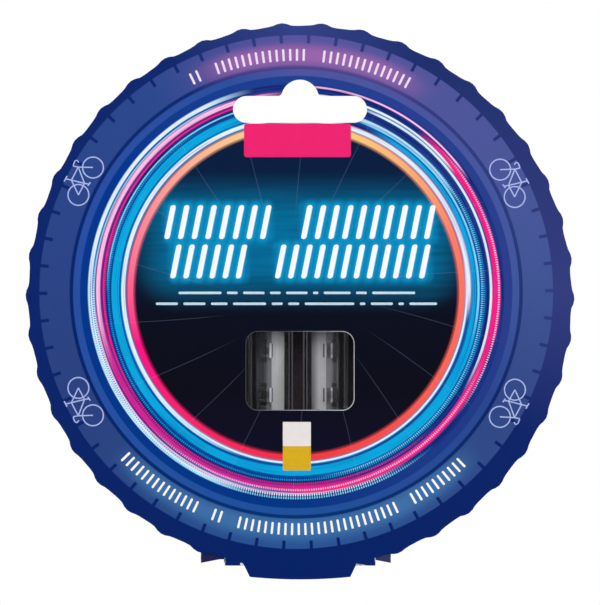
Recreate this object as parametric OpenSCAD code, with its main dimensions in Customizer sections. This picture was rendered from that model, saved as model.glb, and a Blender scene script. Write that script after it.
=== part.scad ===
// Round hanging carton with a window, and two clear spoke lights that lift out of it.
// Front faces -Y, +Z is up, the origin is the dome centre of the hanging slot
// in the plane of the card's back face. Millimetres.

/* [Display card] */
// Thickness of the printed board
board_t = 0.5; // [0.4:0.05:0.7]
// Number of scallops round the rim
lobe_n = 42; // [30:1:54]
// Height of one scallop
lobe_h = 0.75; // [0.4:0.05:1.2]
// Board left above the hanging slot
rim_above_slot = 13.6; // [10:0.1:18]
// Width of the hanging slot
slot_w = 32; // [28:0.5:36]
// Height of the slot's straight bar
slot_h = 6.4; // [5.5:0.1:7.5]
// Radius of the slot's dome
dome_r = 4.5; // [3.6:0.1:5]
// Radius of the fillets between bar and dome
slot_fillet = 1; // [0.6:0.1:1.4]
// Half width of the flat shoulder under the rim
shoulder_hw = 18; // [16:0.5:20]
// Half width of the tongue at the shoulder
tongue_hw = 13.3; // [11:0.1:15]
// Length of the tongue below the shoulder
tongue_l = 2.7; // [1.5:0.1:5]

/* [Window] */
// Width of the window
window_w = 25.9; // [22:0.1:28]
// Height of the window
window_h = 18.9; // [14:0.1:24]
// Corner radius of the window
window_r = 2.9; // [1.5:0.1:5]
// Window centre below the middle LED
window_drop = 4.7; // [0:0.1:9]
// Glued border of the film round the window
film_lap = 3.5; // [2.5:0.1:4.5]
// Thickness of the film
film_t = 0.2; // [0.1:0.05:0.3]

/* [Carton] */
// Free width beside the cradle, for a finger
finger_gap = 6.2; // [5.5:0.1:9]
// Sideways offset of the glued sleeve behind the card
sleeve_off = -1; // [-1.2:0.1:1.2]
// Sleeve wall standing above the lights
sleeve_above = 3.4; // [2:0.1:6]
// Radius of the thumb notch in the back wall
thumb_r = 9; // [7:0.5:11]
// Length of the tuck lip
lip_l = 3.5; // [2.5:0.1:3.6]
// Length of one dust flap
dust_l = 16; // [12:0.5:18]
// Side arm of the cradle beside a light
cradle_arm = 2.4; // [1.8:0.1:4]
// Sideways offset of the cradle and its lights behind the window
row_off = -0.5; // [-0.8:0.1:0.8]

/* [Light] */
// Diameter of a button cell
cell_d = 7.9; // [7.6:0.1:8.4]
// Height of a button cell
cell_h = 3.6; // [3.2:0.1:4.2]
// Number of cells in a stack
cell_n = 3; // [3:1:4]
// Number of LEDs on one side of the board, odd
led_n = 7; // [5:2:7]
// Distance between two LEDs
led_pitch = 10.7; // [10:0.1:11.5]
// Wall of the clear tube
tube_wall = 0.8; // [0.7:0.05:1.1]
// Height of the end flanges
flange_h = 4; // [3.5:0.1:5]
// Wire of the battery spring
wire_d = 0.4; // [0.3:0.05:0.45]
// Height of a bayonet lug on the battery cap
lug_h = 0.35; // [0.25:0.05:0.4]
// Turn that frees the battery cap
lug_turn = 60; // [45:5:75]
// Travel of the push button
press = 0.6; // [0.4:0.05:0.65]
// Depth of the finger dish in the push button
dish_d = 0.35; // [0.2:0.05:0.5]
// Grip flutes round an end flange
flute_n = 18; // [12:1:24]
// Length of one spoke clip
clip_l = 6; // [4:0.5:8]
// Distance of a spoke clip's middle from the tube's end
clip_in = 14.5; // [8:0.5:24]
// Diameter of the spoke that a clip holds
spoke_d = 2; // [1.8:0.05:2.2]

/* [Hidden] */
$fn = 64;
// running clearance between turning and sliding pieces
run = 0.08;
// how far a cutter reaches past the face that it opens
over = 1;
// radii, from the cell outward
cell_play = 0.1;
cup_wall = 0.55;
cup_play = 0.1;
flange_out = 0.7;
pocket_wall = 0.35;
cell_r = cell_d / 2;
cup_ir = cell_r + cell_play;
cup_or = cup_ir + cup_wall;
tube_ir = cup_or + cup_play;
tube_or = tube_ir + tube_wall;
flange_r = tube_or + flange_out;
seal_pocket_r = tube_or - pocket_wall;
seal_wire_r = (seal_pocket_r - cup_or) / 2 - run;
// spoke clip
clip_play = 0.02;
clip_wall = 1;
clip_gap_half = 50;
jaw_wall = 1;
jaw_sink = 0.5;
snap_share = 0.8;
clip_ir = tube_or + clip_play;
clip_or = tube_or + clip_wall;
jaw_r = spoke_d / 2;
jaw_or = jaw_r + jaw_wall;
jaw_y = clip_or + jaw_or - jaw_sink;
jaw_slot = spoke_d * snap_share;
// lengths of a light, from its middle LED
led_l = 3.5;
led_w = 2.8;
led_h = 1.4;
strip_w = 0.45;
disc_t = 0.4;
disc_play = 0.05;
spring_h = 1.3;
end_wall = 1.65;
board_margin = 0.65;
board_end = (led_n - 1) / 2 * led_pitch + led_l / 2 + board_margin;
cells_top = board_end + disc_t + disc_play;
cells_low = cells_top + cell_n * cell_h;
half_l = cells_low + spring_h + end_wall;
tube_end = half_l - flange_h;
web_t = 1.2;
recess = 4;
web_top = half_l - recess;
web_low = web_top - web_t;
key_h = 2.5;
key_gap = 0.9;
key_top = web_low - key_gap;
board_top = key_top - key_h;
pcb_w = 6.8;
pcb_t = 0.8;
plug_bore = sqrt(pow(pcb_w / 2, 2) + pow(pcb_t / 2, 2)) + run;
plug_grip = 3.5;
plug_low = board_top - plug_grip;
clip_z = tube_end - clip_in;
// rails in the tube that hold the board's edges, and the columns of parts between them
rail_lap = 0.2;
rail_t = 0.5;
rail_x = pcb_w / 2 - rail_lap;
chip_s = 2.2;
chip_leg = 0.3;
chip_gap = 0.05;
led_gap = 0.15;
led_x = -(rail_x - led_gap - strip_w - led_w / 2);
side_x = rail_x - chip_gap - chip_leg - chip_s / 2;
side_z = (led_n / 2 - 1) * led_pitch;
// bayonet lugs on the battery cap, and their grooves in the tube
pocket_d = 0.8;
lug_a = 20;
lug_l = 1.2;
lug_in = 1;
lug_play = 1.5;
groove_play = 0.12;
lug_r = cup_or + lug_h;
groove_r = lug_r + groove_play;
lug_z = tube_end - pocket_d - lug_in - lug_l / 2;
// places in the carton
pair_gap = 0.4;
front_gap = 1.7;
back_gap = 0.5;
pitch = 2 * clip_or + pair_gap;
cradle_w = 2 * (pitch + cradle_arm) + pair_gap;
sleeve_w = cradle_w + 2 * finger_gap + 2 * board_t;
tube_y = clip_or + front_gap;
cradle_y = tube_y + jaw_y + jaw_or + back_gap;
sleeve_d = cradle_y + 2 * board_t;
lift_gap = 0.3;
floor_to_light = 2 * board_t + lift_gap;
slot_over_sleeve = 2.4;
dome_sink = 0.6;
dome_up = slot_h - dome_sink;
under_floor = 2.6;
card_r = (2 * half_l + under_floor + floor_to_light + sleeve_above
          + slot_over_sleeve + dome_up + dome_r + rim_above_slot) / 2;
floor_z = -card_r + under_floor;
ear_drop = 0.6;
ear_z = floor_z - ear_drop;
ear_rise = 0.9;
shoulder_up = 1.4;
shoulder_z = -card_r + shoulder_up;
light_mid = floor_z + floor_to_light + half_l;
sleeve_top = light_mid + half_l + sleeve_above;
slot_z = sleeve_top + slot_over_sleeve;
hang_z = slot_z + dome_up;
window_z = light_mid - window_drop;
shelf_down = 7.5;
shelf_z = light_mid + half_l - shelf_down;
hinge_y = sleeve_d - board_t / 2;

// points of an arc in the X-Z plane
function arc(cx, cz, r, a0, a1, n) =
    [for (i = [0:n]) let (a = a0 + (a1 - a0) * i / n) [cx + r * cos(a), cz + r * sin(a)]];

// one scallop, in shares of its length: a slow rise, a flat crest, a steep fall, and a round tip on them
rise_end = 0.42;
crest_end = 0.62;
fall_end = 0.8;
tip_mid = 0.55;
tip_hw = 0.26;
tip_power = 1.2;
tip_share = 0.7;
function lobe(p) =
    let (ramp = p < rise_end ? p / rise_end : max(0, min(1, (fall_end - p) / (fall_end - crest_end))),
         tip = abs(p - tip_mid) < tip_hw ? pow(cos(90 * (p - tip_mid) / tip_hw), tip_power) : 0)
    (1 - tip_share) * ramp + tip_share * tip;

// rim of the card between two angles, clockwise seen from the front, a valley on top
lobe_steps = 9;
rim_steps = lobe_n * lobe_steps;
function rim_points(a0, a1) =
    [for (i = [0:rim_steps - 1])
        let (p = (i % lobe_steps) / lobe_steps,
             a = 360 * i / rim_steps,
             r = card_r - lobe_h + lobe_h * lobe(p))
        if (a >= a0 && a < a1 && (cos(a) > 0 || abs(r * sin(a)) > shoulder_hw))
            [r * sin(a), r * cos(a)]];

// outline of the hanging slot: a bar with round ends and a filleted dome
slot_end_r = slot_h / 2;
slot_top = slot_z + slot_h;
fillet_z = slot_top + slot_fillet;
fillet_x = sqrt(pow(dome_r + slot_fillet, 2) - pow(fillet_z - hang_z, 2));
fillet_a = atan2(fillet_z - hang_z, fillet_x);
function slot_points() =
    concat(arc(slot_w / 2 - slot_end_r, slot_z + slot_end_r, slot_end_r, -90, 90, 14),
           arc(fillet_x, fillet_z, slot_fillet, 270, 180 + fillet_a, 5),
           arc(0, hang_z, dome_r, fillet_a, 180 - fillet_a, 18),
           arc(-fillet_x, fillet_z, slot_fillet, -fillet_a, -90, 5),
           arc(-slot_w / 2 + slot_end_r, slot_z + slot_end_r, slot_end_r, 90, 270, 14));

// tongue: tapering sides and a slightly convex lower edge
tongue_taper = 1.3;
tongue_bow = 0.6;
tongue_low = shoulder_z - tongue_l;
tongue_low_hw = tongue_hw - tongue_taper;
bow_r = (pow(tongue_low_hw, 2) + pow(tongue_bow, 2)) / (2 * tongue_bow);
bow_a = asin(tongue_low_hw / bow_r);
step_z = -sqrt(pow(card_r - lobe_h, 2) - pow(shoulder_hw, 2));
function tongue_points() =
    concat([[shoulder_hw, step_z], [shoulder_hw, shoulder_z], [tongue_hw, shoulder_z]],
           arc(0, tongue_low + bow_r - tongue_bow, bow_r, 270 + bow_a, 270 - bow_a, 12),
           [[-tongue_hw, shoulder_z], [-shoulder_hw, shoulder_z], [-shoulder_hw, step_z]]);

// whole outline: right half of the rim, shoulder and tongue, left half of the rim
function card_points() =
    concat(rim_points(0, 180), tongue_points(), rim_points(180, 360));

// puts a piece that is drawn about the card's centre into the row's frame
module on_card() {
    translate([0, 0, -hang_z]) children();
}

// board of thickness t from an X-Z figure, its front face at y
module panel(y, t) {
    translate([0, y + t, 0]) rotate([90, 0, 0]) linear_extrude(t) children();
}

// flat board from an X-Y figure, its underside at z
module shelf(z, t) {
    translate([0, 0, z]) linear_extrude(t) children();
}

module rounded_rect(w, h, r) {
    union() {
        square([w - 2 * r, h], center = true);
        square([w, h - 2 * r], center = true);
        for (sx = [-1, 1], sz = [-1, 1])
            translate([sx * (w / 2 - r), sz * (h / 2 - r)]) circle(r);
    }
}

module left_place() {
    on_card() translate([row_off - pitch / 2, tube_y, light_mid]) children();
}

// the second light stands head to tail beside the first
module right_place() {
    on_card() translate([row_off + pitch / 2, tube_y, light_mid]) rotate([0, 180, 0]) children();
}

module front_card() {
    color([0.06, 0.14, 0.40])
    on_card()
    panel(-board_t, board_t)
    difference() {
        polygon(card_points());
        polygon(slot_points());
        translate([0, window_z]) rounded_rect(window_w, window_h, window_r);
    }
}

film_w = window_w + 2 * film_lap;
film_h = window_h + 2 * film_lap;
film_play = 0.5;

module window_film() {
    color([0.9, 0.95, 1, 0.3])
    on_card()
    panel(0, film_t)
    translate([0, window_z])
    square([film_w, film_h], center = true);
}

// front wall of the sleeve: its lower corners reach below the rim of the card
module front_wall() {
    difference() {
        polygon([[sleeve_off - sleeve_w / 2, sleeve_top],
                 [sleeve_off - sleeve_w / 2, ear_z],
                 [sleeve_off - shoulder_hw, ear_z + ear_rise],
                 [sleeve_off + shoulder_hw, ear_z + ear_rise],
                 [sleeve_off + sleeve_w / 2, ear_z],
                 [sleeve_off + sleeve_w / 2, sleeve_top]]);
        translate([0, window_z])
            square([film_w + 2 * film_play, film_h + 2 * film_play], center = true);
    }
}

module box_sleeve() {
    color([0.10, 0.13, 0.30])
    on_card()
    union() {
        panel(0, board_t) front_wall();
        translate([sleeve_off, 0, floor_z])
        linear_extrude(sleeve_top - floor_z) {
            translate([-sleeve_w / 2, 0]) square([board_t, sleeve_d]);
            translate([sleeve_w / 2 - board_t, 0]) square([board_t, sleeve_d]);
        }
        panel(sleeve_d - board_t, board_t)
        difference() {
            translate([sleeve_off - sleeve_w / 2, floor_z])
                square([sleeve_w, sleeve_top - floor_z]);
            translate([0, sleeve_top]) circle(thumb_r);
        }
    }
}

// two flaps folded in from the side walls
dust_y0 = 2.2;
dust_bevel = 3;
module dust_flaps() {
    color([0.13, 0.16, 0.34])
    on_card()
    translate([sleeve_off, 0, 0])
    for (s = [-1, 1])
        shelf(floor_z, board_t)
        polygon([[s * (sleeve_w / 2 - board_t), dust_y0],
                 [s * (sleeve_w / 2 - board_t), sleeve_d - board_t],
                 [s * (sleeve_w / 2 - board_t - dust_l), sleeve_d - board_t - dust_bevel],
                 [s * (sleeve_w / 2 - board_t - dust_l), dust_y0 + dust_bevel]]);
}

// folded card: floor under the lights, back panel, and an upper shelf with notches
notch_play = 0.2;
jaw_play = 0.5;
notch_r = clip_or + notch_play;
jaw_notch = 2 * (jaw_or + jaw_play);
cradle_front = 2.2;
module lamp_cradle() {
    color([0.03, 0.03, 0.04])
    on_card()
    translate([row_off, 0, 0])
    union() {
        shelf(floor_z + board_t, board_t)
            translate([-cradle_w / 2, cradle_front])
            square([cradle_w, cradle_y + board_t - cradle_front]);
        panel(cradle_y, board_t)
            translate([-cradle_w / 2, floor_z + board_t])
            square([cradle_w, shelf_z - floor_z]);
        shelf(shelf_z, board_t)
        difference() {
            translate([-cradle_w / 2, cradle_front])
                square([cradle_w, cradle_y + board_t - cradle_front]);
            for (s = [-1, 1]) {
                translate([s * pitch / 2, tube_y]) circle(notch_r);
                translate([s * pitch / 2 - jaw_notch / 2, tube_y])
                    square([jaw_notch, cradle_y - tube_y]);
            }
            translate([-pitch / 2 - notch_r, 0]) square([pitch + 2 * notch_r, tube_y]);
        }
    }
}

// panel under the dust flaps with a lip that tucks in behind the front wall
flap_in = 0.3;
flap_gap = 0.06;
fold_gap = 0.1;
lip_bevel = 2;
flap_hw = shoulder_hw - flap_in;
flap_off = sleeve_off / 2;
flap_top = floor_z - flap_gap;
lip_y = 2 * board_t;
lip_side = 0.3 * lip_l;
module bottom_flap() {
    color([0.10, 0.13, 0.30])
    on_card()
    translate([flap_off, 0, 0])
    union() {
        shelf(flap_top - board_t, board_t)
            translate([-flap_hw, lip_y])
            square([2 * flap_hw, hinge_y - fold_gap - lip_y]);
        panel(lip_y, board_t)
            polygon([[-flap_hw, flap_top - board_t],
                     [-flap_hw, flap_top + lip_side],
                     [-flap_hw + lip_bevel, flap_top + lip_l],
                     [flap_hw - lip_bevel, flap_top + lip_l],
                     [flap_hw, flap_top + lip_side],
                     [flap_hw, flap_top - board_t]]);
    }
}

// piece of a ring about the light's axis: from a radius outward by w, from z upward by h, over an angle
module ring_piece(r, w, z, h, angle) {
    rotate_extrude(angle = angle) translate([r, z]) square([w, h]);
}

// bent way for one lug: in along the tube from its end, then round under the wall
way_in = tube_ir - cup_play;
way_w = groove_r - way_in;
way_a = lug_a + 2 * lug_play;
module lug_way() {
    rotate([0, 0, -way_a / 2])
        ring_piece(way_in, way_w, -lug_z - lug_l / 2 - run, lug_l + 2 * run, way_a + lug_turn);
    rotate([0, 0, lug_turn - way_a / 2])
        ring_piece(way_in, way_w, -tube_end - over, tube_end + over - lug_z, way_a);
}

// four ribs along the tube, two at each edge of the board
rail_in = 0.1;
rail_to_plug = 0.3;
rail_low = -board_end + rail_in;
rail_l = plug_low - rail_to_plug - rail_low;
module board_rails() {
    for (sx = [0, 1], sy = [0, 1])
        mirror([sx, 0, 0]) mirror([0, sy, 0])
        translate([rail_x, pcb_t / 2 + run, rail_low])
        cube([tube_ir + tube_wall / 2 - rail_x, rail_t, rail_l]);
}

// clear tube: rails for the board, a pocket for a seal ring at each end, and the lugs' ways
module tube_shape() {
    color([0.85, 0.9, 0.95, 0.3])
    union() {
        difference() {
            translate([0, 0, -tube_end]) cylinder(r = tube_or, h = 2 * tube_end);
            translate([0, 0, -tube_end - over]) cylinder(r = tube_ir, h = 2 * (tube_end + over));
            for (s = [-1, 1])
                translate([0, 0, s * tube_end])
                cylinder(r = seal_pocket_r, h = 2 * pocket_d, center = true);
            for (side = [0, 180])
                rotate([0, 0, side]) lug_way();
        }
        board_rails();
    }
}

flute_r = 0.55;
flute_out = 0.25;
module flutes(z0) {
    for (i = [0:flute_n - 1])
        rotate([0, 0, 360 * i / flute_n])
        translate([flange_r + flute_out, 0, z0]) cylinder(r = flute_r, h = flange_h, $fn = 24);
}

// end cap: a fluted flange with a coin slot, and a cup for the cells with two bayonet lugs
chamfer = 0.5;
cup_lap = 0.8;
cup_top = cells_top + cup_lap;
coin_l = 8.4;
coin_w = 1.5;
coin_d = 0.9;
lug_root = 0.2;
module battery_cap_shape() {
    color([0.05, 0.05, 0.06])
    difference() {
        union() {
            rotate_extrude()
                polygon([[0, -half_l],
                         [flange_r - chamfer, -half_l],
                         [flange_r, -half_l + chamfer],
                         [flange_r, -tube_end - run],
                         [cup_or, -tube_end - run],
                         [cup_or, -cup_top],
                         [cup_ir, -cup_top],
                         [cup_ir, -half_l + end_wall],
                         [0, -half_l + end_wall]]);
            for (side = [0, 180])
                rotate([0, 0, side - lug_a / 2])
                ring_piece(cup_or - lug_root, lug_h + lug_root, -lug_z - lug_l / 2, lug_l, lug_a);
        }
        flutes(-half_l - over);
        translate([0, 0, -half_l]) cube([coin_l, coin_w, 2 * coin_d], center = true);
    }
}

seal_sink = 0.05;
seal_r = (seal_pocket_r + cup_or) / 2;
module seal_shape(s) {
    color([0.12, 0.02, 0.02])
    translate([0, 0, s * (tube_end - pocket_d / 2 + seal_sink)])
    rotate_extrude() translate([seal_r, 0]) circle(seal_wire_r);
}

// stack of cells: a can with a narrower cap on each
cell_step = 0.8;
cell_bevel = 0.2;
cell_gap = 0.02;
cell_cap_r = cell_r - cell_step;
cell_cap_h = 0.5;
cell_top = cell_h - cell_gap;
module button_cells_shape() {
    color([0.75, 0.76, 0.78])
    for (i = [0:cell_n - 1])
        translate([0, 0, -cells_low + i * cell_h])
        rotate_extrude()
        polygon([[0, 0],
                 [cell_cap_r, 0],
                 [cell_cap_r, cell_cap_h],
                 [cell_r - cell_bevel, cell_cap_h],
                 [cell_r, cell_cap_h + cell_bevel],
                 [cell_r, cell_top - cell_bevel],
                 [cell_r - cell_bevel, cell_top],
                 [0, cell_top]]);
}

// conical coil between the cap and the cells
coil_turns = 2;
coil_steps = 34;
coil_sides = 6;
coil_in = 0.55;
coil_play = 0.02;
coil_r0 = cell_r - coil_in;
coil_r1 = 1.6;
coil_z0 = -half_l + end_wall + wire_d / 2 + coil_play;
coil_z1 = -cells_low - wire_d / 2 - coil_play;
function coil_point(i, j) =
    let (u = i / coil_steps,
         a = 360 * coil_turns * u,
         b = 360 * j / coil_sides,
         r = coil_r0 + (coil_r1 - coil_r0) * u + wire_d / 2 * cos(b))
    [r * cos(a), r * sin(a), coil_z0 + (coil_z1 - coil_z0) * u + wire_d / 2 * sin(b)];
module battery_spring_shape() {
    color([0.7, 0.68, 0.6])
    polyhedron(
        points = [for (i = [0:coil_steps], j = [0:coil_sides - 1]) coil_point(i, j)],
        faces = concat(
            [[for (j = [0:coil_sides - 1]) j]],
            [for (i = [0:coil_steps - 1], j = [0:coil_sides - 1])
                let (k = (j + 1) % coil_sides)
                [i * coil_sides + j, (i + 1) * coil_sides + j,
                 (i + 1) * coil_sides + k, i * coil_sides + k]],
            [[for (j = [coil_sides - 1:-1:0]) coil_steps * coil_sides + j]]));
}

module contact_disc_shape() {
    color([0.80, 0.62, 0.25])
    translate([0, 0, -board_end - disc_t]) cylinder(r = tube_ir - run, h = disc_t);
}

module circuit_board_shape() {
    color([0.86, 0.86, 0.84])
    translate([-pcb_w / 2, -pcb_t / 2, -board_end]) cube([pcb_w, pcb_t, board_end + board_top]);
}

// one LED: package with a round lens recess and a terminal strip on each side
lens_r = 1.05;
lens_d = 0.3;
strip_h = 0.35;
strip_in = 0.1;
module led() {
    difference() {
        union() {
            translate([-led_w / 2, -led_h, -led_l / 2]) cube([led_w, led_h, led_l]);
            translate([-led_w / 2 - strip_w, -strip_h, -led_l / 2 + strip_in])
                cube([led_w + 2 * strip_w, strip_h, led_l - 2 * strip_in]);
        }
        translate([0, -led_h, 0]) rotate([90, 0, 0]) cylinder(r = lens_r, h = 2 * lens_d, center = true);
    }
}

module leds_shape() {
    color([0.9, 0.88, 0.7])
    for (i = [0:led_n - 1])
        translate([led_x, 0, (i - (led_n - 1) / 2) * led_pitch]) {
            translate([0, -pcb_t / 2, 0]) led();
            translate([0, pcb_t / 2, 0]) rotate([0, 0, 180]) led();
        }
}

// oblong chip with a row of legs on two sides
chip_h = 1;
leg_w = 0.4;
leg_pitch = 1.1;
module controller_chip_shape() {
    color([0.05, 0.05, 0.05])
    translate([side_x, -pcb_t / 2, -side_z])
    union() {
        translate([-chip_s / 2, -chip_h, -chip_s]) cube([chip_s, chip_h, 2 * chip_s]);
        for (i = [-1.5:1:1.5])
            translate([-chip_s / 2 - chip_leg, -chip_leg, i * leg_pitch - leg_w / 2])
            cube([chip_s + 2 * chip_leg, chip_leg, leg_w]);
    }
}

// rolling-ball switch lying along the board on a short saddle
switch_r = 1.2;
switch_l = 6;
switch_up = 0.2;
saddle_w = 1;
saddle_in = 0.3;
module motion_switch_shape() {
    color([0.72, 0.72, 0.74])
    translate([side_x, -pcb_t / 2, side_z])
    union() {
        translate([0, -switch_r - switch_up, -switch_l / 2]) cylinder(r = switch_r, h = switch_l);
        translate([-saddle_w / 2, -switch_r, -switch_l / 2 + saddle_in])
            cube([saddle_w, switch_r, switch_l - 2 * saddle_in]);
    }
}

// row of three small resistors beside the LEDs
resistor = [0.8, 0.45, 1.6];
resistor_pitch = 2.4;
module chip_resistors_shape() {
    color([0.08, 0.08, 0.09])
    for (i = [0:2])
        translate([side_x - resistor.x / 2, -pcb_t / 2 - resistor.y,
                   side_z - led_pitch + led_l / 2 + (i - 1.5) * resistor_pitch])
        cube(resistor);
}

// key switch standing on the end of the board
key_w = 4.4;
key_body_h = 1.6;
key_pin_r = 1.2;
module key_switch_shape() {
    color([0.2, 0.2, 0.22])
    translate([0, 0, board_top])
    union() {
        translate([-key_w / 2, -key_w / 2, 0]) cube([key_w, key_w, key_body_h]);
        cylinder(r = key_pin_r, h = key_h);
    }
}

// plug with a socket for the end of the board and a recess for the button
button_r = plug_bore - run;
stem_r = 1.42;
flute_skirt = 1.2;
module button_plug_shape() {
    color([0.05, 0.05, 0.06])
    difference() {
        rotate_extrude()
            polygon([[plug_bore, plug_low],
                     [cup_or, plug_low],
                     [cup_or, tube_end + run],
                     [flange_r, tube_end + run],
                     [flange_r, half_l - chamfer],
                     [flange_r - chamfer, half_l],
                     [plug_bore, half_l],
                     [plug_bore, web_top],
                     [stem_r + run, web_top],
                     [stem_r + run, web_low],
                     [plug_bore, web_low]]);
        flutes(tube_end + flute_skirt);
    }
}

// rubber-faced button: a cap with a round edge and a finger dish, on a stem
button_in = 0.3;
button_play = 0.05;
button_top = half_l - button_in;
button_low = web_top + press + button_play;
stem_low = key_top + press + button_play;
button_edge = 0.6;
dish_rim = 0.4;
dish_hw = button_r - button_edge - dish_rim;
dish_r = (pow(dish_hw, 2) + pow(dish_d, 2)) / (2 * dish_d);
dish_a = asin(dish_hw / dish_r);
module push_button_shape() {
    color([0.55, 0.56, 0.58])
    rotate_extrude()
        polygon(concat([[0, stem_low],
                        [stem_r, stem_low],
                        [stem_r, button_low],
                        [button_r, button_low]],
                       arc(button_r - button_edge, button_top - button_edge, button_edge, 0, 90, 5),
                       arc(0, button_top - dish_d + dish_r, dish_r, 270 + dish_a, 270, 6)));
}

// open ring on the tube with round tips, and a slotted jaw with flared lips behind it for the spoke
clip_mid = (clip_or + clip_ir) / 2;
clip_cut = 2 * clip_or;
neck_in = 0.4;
neck_root = 0.8;
lip_t = 0.2;
flare = 0.5;
neck_hw = jaw_or - neck_in;
neck_low = clip_or - neck_root;
flare_y = jaw_y + jaw_r + lip_t;
flare_hw = jaw_slot / 2 + flare;
module spoke_clip() {
    translate([0, 0, -clip_l / 2])
    linear_extrude(clip_l)
    difference() {
        union() {
            difference() {
                circle(clip_or);
                circle(clip_ir);
                polygon([[0, 0],
                         [-clip_cut * sin(clip_gap_half), -clip_cut * cos(clip_gap_half)],
                         [clip_cut * sin(clip_gap_half), -clip_cut * cos(clip_gap_half)]]);
            }
            for (s = [-1, 1])
                translate([s * clip_mid * sin(clip_gap_half), -clip_mid * cos(clip_gap_half)])
                circle((clip_or - clip_ir) / 2);
            difference() {
                translate([-neck_hw, neck_low]) square([2 * neck_hw, jaw_y - neck_low]);
                circle(clip_ir);
            }
            translate([0, jaw_y]) circle(jaw_or);
        }
        translate([0, jaw_y]) circle(jaw_r);
        translate([-jaw_slot / 2, jaw_y]) square([jaw_slot, jaw_or]);
        polygon([[-jaw_slot / 2, flare_y],
                 [jaw_slot / 2, flare_y],
                 [flare_hw, jaw_y + jaw_or],
                 [-flare_hw, jaw_y + jaw_or]]);
    }
}

module spoke_clips_shape() {
    color([0.05, 0.05, 0.06])
    for (s = [-1, 1]) translate([0, 0, s * clip_z]) spoke_clip();
}

module left_tube() { left_place() tube_shape(); }
module left_battery_cap() { left_place() battery_cap_shape(); }
module left_cap_seal() { left_place() seal_shape(-1); }
module left_button_cells() { left_place() button_cells_shape(); }
module left_battery_spring() { left_place() battery_spring_shape(); }
module left_contact_disc() { left_place() contact_disc_shape(); }
module left_circuit_board() { left_place() circuit_board_shape(); }
module left_leds() { left_place() leds_shape(); }
module left_controller_chip() { left_place() controller_chip_shape(); }
module left_motion_switch() { left_place() motion_switch_shape(); }
module left_chip_resistors() { left_place() chip_resistors_shape(); }
module left_key_switch() { left_place() key_switch_shape(); }
module left_button_plug() { left_place() button_plug_shape(); }
module left_plug_seal() { left_place() seal_shape(1); }
module left_push_button() { left_place() push_button_shape(); }
module left_spoke_clips() { left_place() spoke_clips_shape(); }

module right_tube() { right_place() tube_shape(); }
module right_battery_cap() { right_place() battery_cap_shape(); }
module right_cap_seal() { right_place() seal_shape(-1); }
module right_button_cells() { right_place() button_cells_shape(); }
module right_battery_spring() { right_place() battery_spring_shape(); }
module right_contact_disc() { right_place() contact_disc_shape(); }
module right_circuit_board() { right_place() circuit_board_shape(); }
module right_leds() { right_place() leds_shape(); }
module right_controller_chip() { right_place() controller_chip_shape(); }
module right_motion_switch() { right_place() motion_switch_shape(); }
module right_chip_resistors() { right_place() chip_resistors_shape(); }
module right_key_switch() { right_place() key_switch_shape(); }
module right_button_plug() { right_place() button_plug_shape(); }
module right_plug_seal() { right_place() seal_shape(1); }
module right_push_button() { right_place() push_button_shape(); }
module right_spoke_clips() { right_place() spoke_clips_shape(); }

// least gap between two turns of the battery spring
echo(coil_gap = sqrt(pow((coil_r0 - coil_r1) / coil_turns, 2)
                     + pow((coil_z1 - coil_z0) / coil_turns, 2)) - wire_d);

front_card();
window_film();
box_sleeve();
dust_flaps();
lamp_cradle();
bottom_flap();
left_tube();
left_battery_cap();
left_cap_seal();
left_button_cells();
left_battery_spring();
left_contact_disc();
left_circuit_board();
left_leds();
left_controller_chip();
left_motion_switch();
left_chip_resistors();
left_key_switch();
left_button_plug();
left_plug_seal();
left_push_button();
left_spoke_clips();
right_tube();
right_battery_cap();
right_cap_seal();
right_button_cells();
right_battery_spring();
right_contact_disc();
right_circuit_board();
right_leds();
right_controller_chip();
right_motion_switch();
right_chip_resistors();
right_key_switch();
right_button_plug();
right_plug_seal();
right_push_button();
right_spoke_clips();
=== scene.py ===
"""Looks, light and camera for a round hanging carton that holds two clear spoke lights."""

import math

import bpy
import numpy as np
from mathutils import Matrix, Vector


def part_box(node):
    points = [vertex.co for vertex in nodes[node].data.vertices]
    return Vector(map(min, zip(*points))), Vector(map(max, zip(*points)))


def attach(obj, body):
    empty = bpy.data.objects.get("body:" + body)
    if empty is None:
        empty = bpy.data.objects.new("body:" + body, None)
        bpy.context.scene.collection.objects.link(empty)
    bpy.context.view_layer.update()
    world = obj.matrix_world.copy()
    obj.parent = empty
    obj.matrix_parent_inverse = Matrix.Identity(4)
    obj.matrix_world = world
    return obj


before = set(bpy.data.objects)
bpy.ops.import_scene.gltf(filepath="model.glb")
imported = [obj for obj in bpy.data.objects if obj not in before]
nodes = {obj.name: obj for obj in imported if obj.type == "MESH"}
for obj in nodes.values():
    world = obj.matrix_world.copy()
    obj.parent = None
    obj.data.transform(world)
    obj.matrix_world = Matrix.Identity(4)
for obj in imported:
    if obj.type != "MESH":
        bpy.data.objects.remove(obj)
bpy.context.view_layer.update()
scene = bpy.context.scene

# Sizes in millimetres, on the card: x to the right and z up from the disc's centre, which lies DISC_DROP
# below the origin; then the card's front face and the middle between the lights
MM = 0.001
DISC_DROP = 47.4
CARD_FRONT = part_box("front_card")[0].y / MM
ROW_X = -0.5

# Printed films: thickness, and the number of levels for lines that cross
INK, LEVELS = 0.01, 12
# Bare edges of the card: widths of a cut and of the window's burr, place of the shoulders, height of the
# right one's cut, and corner of the tongue
CUT_W, BURR_W = 0.15, 0.08
SHOULDER_X, SHOULDER_TOP, SHOULDER_LOW = 18.0, -62.2, -64.1
RIGHT_CUT_H = 0.8
CORNER_X = 13.35
# Painted highlights at the curled corners beside the tongue, in the bare board's colour: points from the
# corner of shoulder and tongue
CURL_HIGHLIGHT_LEFT = [(-1.05, 0.0), (0.0, 0.0), (-0.4, 0.65), (-0.85, 0.7)]
CURL_HIGHLIGHT_RIGHT = [(0.0, 0.55), (0.0, 0.0), (2.95, 0.0)]
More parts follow.
